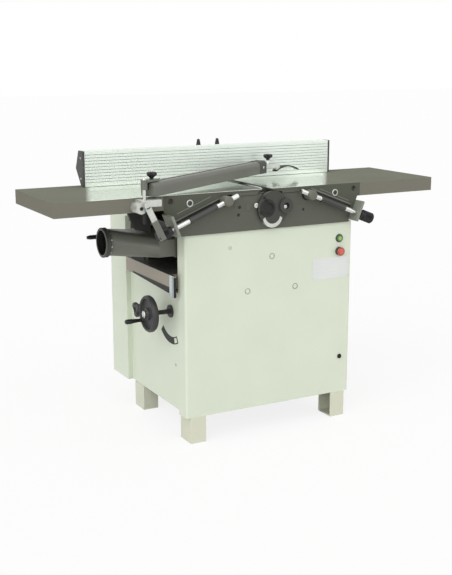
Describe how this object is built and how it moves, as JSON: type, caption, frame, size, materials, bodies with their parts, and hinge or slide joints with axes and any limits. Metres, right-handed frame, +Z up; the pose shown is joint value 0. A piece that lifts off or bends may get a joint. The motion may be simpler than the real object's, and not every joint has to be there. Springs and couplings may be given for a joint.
{
  "type": "combination planer thicknesser",
  "caption": "Floor-standing combination planer thicknesser with cast tables on sloped ways, tilting fence, bridge guard, rise-and-fall bed, crank wheel and chip hood.",
  "frame": {"origin": "on the floor, at the centre of the foot bolt rectangle", "axes": "+X along the tables towards the infeed end, +Y from the operator to the back, +Z up"},
  "size_m": [1.434, 0.708, 0.9809],
  "materials": {
    "cabinet_paint": "smooth satin paint",
    "casting_paint": "hammered dark paint",
    "inner_paint": "matt dark paint",
    "cover_paint": "satin dark paint",
    "table_iron": "ground",
    "deck_iron": "ground",
    "bright_steel": "turned",
    "cutter_steel": "ground",
    "bracket_grey": "satin paint",
    "fence_alu": "extruded",
    "cap_plastic": "moulded",
    "knob_black": "moulded",
    "wheel_black": "moulded",
    "belt_rubber": "matt",
    "button_green": "moulded",
    "button_red": "moulded",
    "bezel_black": "moulded",
    "hood_paint": "satin dark paint",
    "trim_black": "matt",
    "beam_paint": "satin paint",
    "motor_paint": "satin paint",
    "spring_black": "black oxide"
  },
  "bodies": {
    "stand": {"feet": "cabinet_paint", "stand_frame": "inner_paint", "front_panel": "cabinet_paint", "left_panel": "cabinet_paint", "right_panel": "cabinet_paint", "rear_housing": "cabinet_paint", "rear_door": "cabinet_paint", "drive_partition": "inner_paint", "panel_fittings": "bright_steel", "button_bezels": "bezel_black", "bed": "casting_paint", "bearing_cover": "cover_paint", "cover_fittings": "bright_steel", "cutter_bearings": "bright_steel", "drive_belt": "belt_rubber", "belt_guard": "casting_paint", "motor": "motor_paint", "trunnions": "casting_paint", "guide_columns": "bright_steel", "shaft_flange": "wheel_black", "fence_bracket": "casting_paint"},
    "outfeed": {"outfeed_table": "table_iron", "outfeed_bracket": "bracket_grey", "guard_clamp": "bright_steel"},
    "outfeed_screw": {"outfeed_rod": "bright_steel", "outfeed_knob": "knob_black"},
    "infeed": {"infeed_table": "table_iron", "infeed_bracket": "bracket_grey"},
    "infeed_screw": {"infeed_rod": "bright_steel", "infeed_knob": "knob_black"},
    "cutter": {"cutter_block": "cutter_steel", "knives": "bright_steel"},
    "rotor": {"motor_rotor": "bright_steel"},
    "roller_in": {"feed_roller_in": "cutter_steel"},
    "roller_out": {"feed_roller_out": "cutter_steel"},
    "fingers": {"kickback_fingers": "cutter_steel"},
    "lift": {"thickness_table": "deck_iron", "table_apron": "deck_iron"},
    "lift_spindle": {"lift_screw": "bright_steel"},
    "crank": {"wheel_shaft": "bright_steel", "handwheel": "wheel_black"},
    "crank_handle": {"crank_grip": "knob_black"},
    "lift_lock": {"lock_knob": "wheel_black"},
    "fence_carriage": {"fence_bar": "bright_steel"},
    "fence_face": {"fence": "fence_alu", "fence_caps": "cap_plastic"},
    "fence_lock": {"lever_left": "knob_black"},
    "tilt_lock": {"lever_right": "knob_black"},
    "guard_column": {"guard_post": "bright_steel"},
    "guard_swivel": {"guard_head": "bright_steel"},
    "guard_lock": {"guard_knob": "knob_black"},
    "guard_arm": {"guard_beam": "beam_paint", "spring_holder": "bright_steel", "leaf_spring": "spring_black"},
    "guard_end_lock": {"holder_knob": "knob_black"},
    "guard_release": {"release_lever": "bright_steel"},
    "start": {"start_button": "button_green"},
    "stop": {"stop_button": "button_red"},
    "chip_hood": {"hood": "hood_paint", "hood_trim": "trim_black"}
  },
  "joints": [
    {"name": "outfeed_slide", "type": "slide", "parent": "stand", "child": "outfeed", "axis": [0.9304, 0, 0.3665], "range_m": [-0.012, 0]},
    {"name": "outfeed_screw_turn", "type": "hinge", "parent": "outfeed", "child": "outfeed_screw", "pos_m": [-0.17033, -0.266, 0.8287], "axis": [-0.9304, 0, -0.3665], "range_deg": [-5, 1085]},
    {"name": "infeed_slide", "type": "slide", "parent": "stand", "child": "infeed", "axis": [-0.9304, 0, 0.3665], "range_m": [-0.012, 0]},
    {"name": "infeed_screw_turn", "type": "hinge", "parent": "infeed", "child": "infeed_screw", "pos_m": [0.11434, -0.266, 0.8287], "axis": [0.9304, 0, -0.3665], "range_deg": [-5, 1085]},
    {"name": "cutter_spin", "type": "hinge", "parent": "stand", "child": "cutter", "pos_m": [-0.028, -0.05, 0.81], "axis": [0, 1, 0], "continuous": true},
    {"name": "rotor_spin", "type": "hinge", "parent": "stand", "child": "rotor", "pos_m": [0.205, 0.1, 0.235], "axis": [0, 1, 0], "continuous": true},
    {"name": "roller_in_spin", "type": "hinge", "parent": "stand", "child": "roller_in", "pos_m": [-0.096, -0.05, 0.79], "axis": [0, 1, 0], "continuous": true},
    {"name": "roller_out_spin", "type": "hinge", "parent": "stand", "child": "roller_out", "pos_m": [0.04, -0.05, 0.79], "axis": [0, 1, 0], "continuous": true},
    {"name": "fingers_swing", "type": "hinge", "parent": "stand", "child": "fingers", "pos_m": [-0.146, -0.05, 0.8], "axis": [0, 1, 0], "range_deg": [0, 30]},
    {"name": "lift_slide", "type": "slide", "parent": "stand", "child": "lift", "axis": [0, 0, 1], "range_m": [-0.018, 0.045]},
    {"name": "lift_spindle_turn", "type": "hinge", "parent": "stand", "child": "lift_spindle", "pos_m": [-0.2, -0.081, 0.43], "axis": [0, 0, 1], "range_deg": [-1360, 550]},
    {"name": "crank_turn", "type": "hinge", "parent": "stand", "child": "crank", "pos_m": [-0.39, -0.081, 0.43], "axis": [1, 0, 0], "range_deg": [-550, 1360]},
    {"name": "crank_handle_turn", "type": "hinge", "parent": "crank", "child": "crank_handle", "pos_m": [-0.43, -0.04396, 0.40106], "axis": [1, 0, 0], "continuous": true},
    {"name": "lift_lock_turn", "type": "hinge", "parent": "stand", "child": "lift_lock", "pos_m": [-0.35, 0.098, 0.404], "axis": [1, 0, 0], "range_deg": [-90, 90]},
    {"name": "fence_shift", "type": "slide", "parent": "stand", "child": "fence_carriage", "axis": [0, 1, 0], "range_m": [-0.012, 0.01]},
    {"name": "fence_tilt", "type": "hinge", "parent": "fence_carriage", "child": "fence_face", "pos_m": [-0.06, 0.089, 0.8575], "axis": [-1, 0, 0], "range_deg": [0, 45]},
    {"name": "fence_lock_turn", "type": "hinge", "parent": "stand", "child": "fence_lock", "pos_m": [-0.038, 0.236, 0.91], "axis": [0, 0, 1], "range_deg": [-90, 90]},
    {"name": "tilt_lock_turn", "type": "hinge", "parent": "stand", "child": "tilt_lock", "pos_m": [0.04, 0.236, 0.91], "axis": [0, 0, 1], "range_deg": [-90, 90]},
    {"name": "guard_column_lift", "type": "slide", "parent": "outfeed", "child": "guard_column", "axis": [0, 0, 1], "range_m": [0, 0.05]},
    {"name": "guard_swing", "type": "hinge", "parent": "guard_column", "child": "guard_swivel", "pos_m": [-0.482, -0.268, 0.89], "axis": [0, 0, 1], "range_deg": [-40, 0]},
    {"name": "guard_lock_turn", "type": "hinge", "parent": "guard_swivel", "child": "guard_lock", "pos_m": [-0.44964, -0.25222, 0.91], "axis": [0, 0, 1], "range_deg": [-90, 90]},
    {"name": "guard_arm_slide", "type": "slide", "parent": "guard_swivel", "child": "guard_arm", "axis": [0.8984, 0.4382, 0.0279], "range_m": [0, 0.02]},
    {"name": "guard_end_lock_turn", "type": "hinge", "parent": "guard_arm", "child": "guard_end_lock", "pos_m": [0.13234, 0.0209, 0.89797], "axis": [-0.0251, -0.0122, 0.9996], "range_deg": [-90, 90]},
    {"name": "guard_release_turn", "type": "hinge", "parent": "outfeed", "child": "guard_release", "pos_m": [-0.487, -0.3, 0.83], "axis": [0, 1, 0], "range_deg": [-15, 15]},
    {"name": "start_press", "type": "slide", "parent": "stand", "child": "start", "axis": [0, 1, 0], "range_m": [0, 0.004], "stiffness_N_per_m": 400},
    {"name": "stop_press", "type": "slide", "parent": "stand", "child": "stop", "axis": [0, 1, 0], "range_m": [0, 0.004], "stiffness_N_per_m": 400},
    {"name": "hood_pull", "type": "slide", "parent": "stand", "child": "chip_hood", "axis": [-1, 0, 0], "range_m": [0, 0.25]}
  ],
  "couplings": [
    {"joint": "outfeed_screw_turn", "follows": "outfeed_slide", "rad_per_m": -1570.8},
    {"joint": "infeed_screw_turn", "follows": "infeed_slide", "rad_per_m": -1570.8},
    {"joint": "rotor_spin", "follows": "cutter_spin", "ratio": 0.73809},
    {"joint": "roller_out_spin", "follows": "roller_in_spin", "ratio": 1},
    {"joint": "lift_spindle_turn", "follows": "lift_slide", "rad_per_m": -523.6},
    {"joint": "crank_turn", "follows": "lift_slide", "rad_per_m": 523.6}
  ]
}
